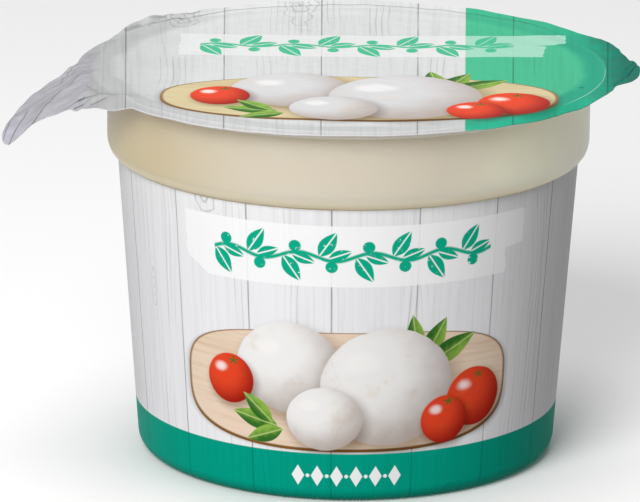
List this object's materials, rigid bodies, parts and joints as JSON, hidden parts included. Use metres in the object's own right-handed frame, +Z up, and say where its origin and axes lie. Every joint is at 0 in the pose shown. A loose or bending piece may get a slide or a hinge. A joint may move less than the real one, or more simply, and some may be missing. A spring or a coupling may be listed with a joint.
{
  "type": "sealed cheese tub",
  "caption": "Shut round plastic tub of fresh cheese with a plain shoulder band, a printed label round its wall and a printed film lid with a drooping pull tab.",
  "frame": {"origin": "centre of the cup's flat underside, on the cup's axis", "axes": "+Z up along the cup's axis, +X to the right of its printed front and away from the pull tab, -Y out of the printed front"},
  "size_m": [0.1172, 0.0996, 0.0726],
  "materials": {
    "cup_plastic": "satin natural plastic, slightly see-through, cream from what is inside",
    "printed_label": "satin print of pale planks over a green band",
    "printed_film": "soft gloss printed film, pale planks and a green field, creased at its edge"
  },
  "bodies": {
    "root": {"cup": "cup_plastic", "label": "printed_label", "film_lid": "printed_film"}
  },
  "joints": []
}
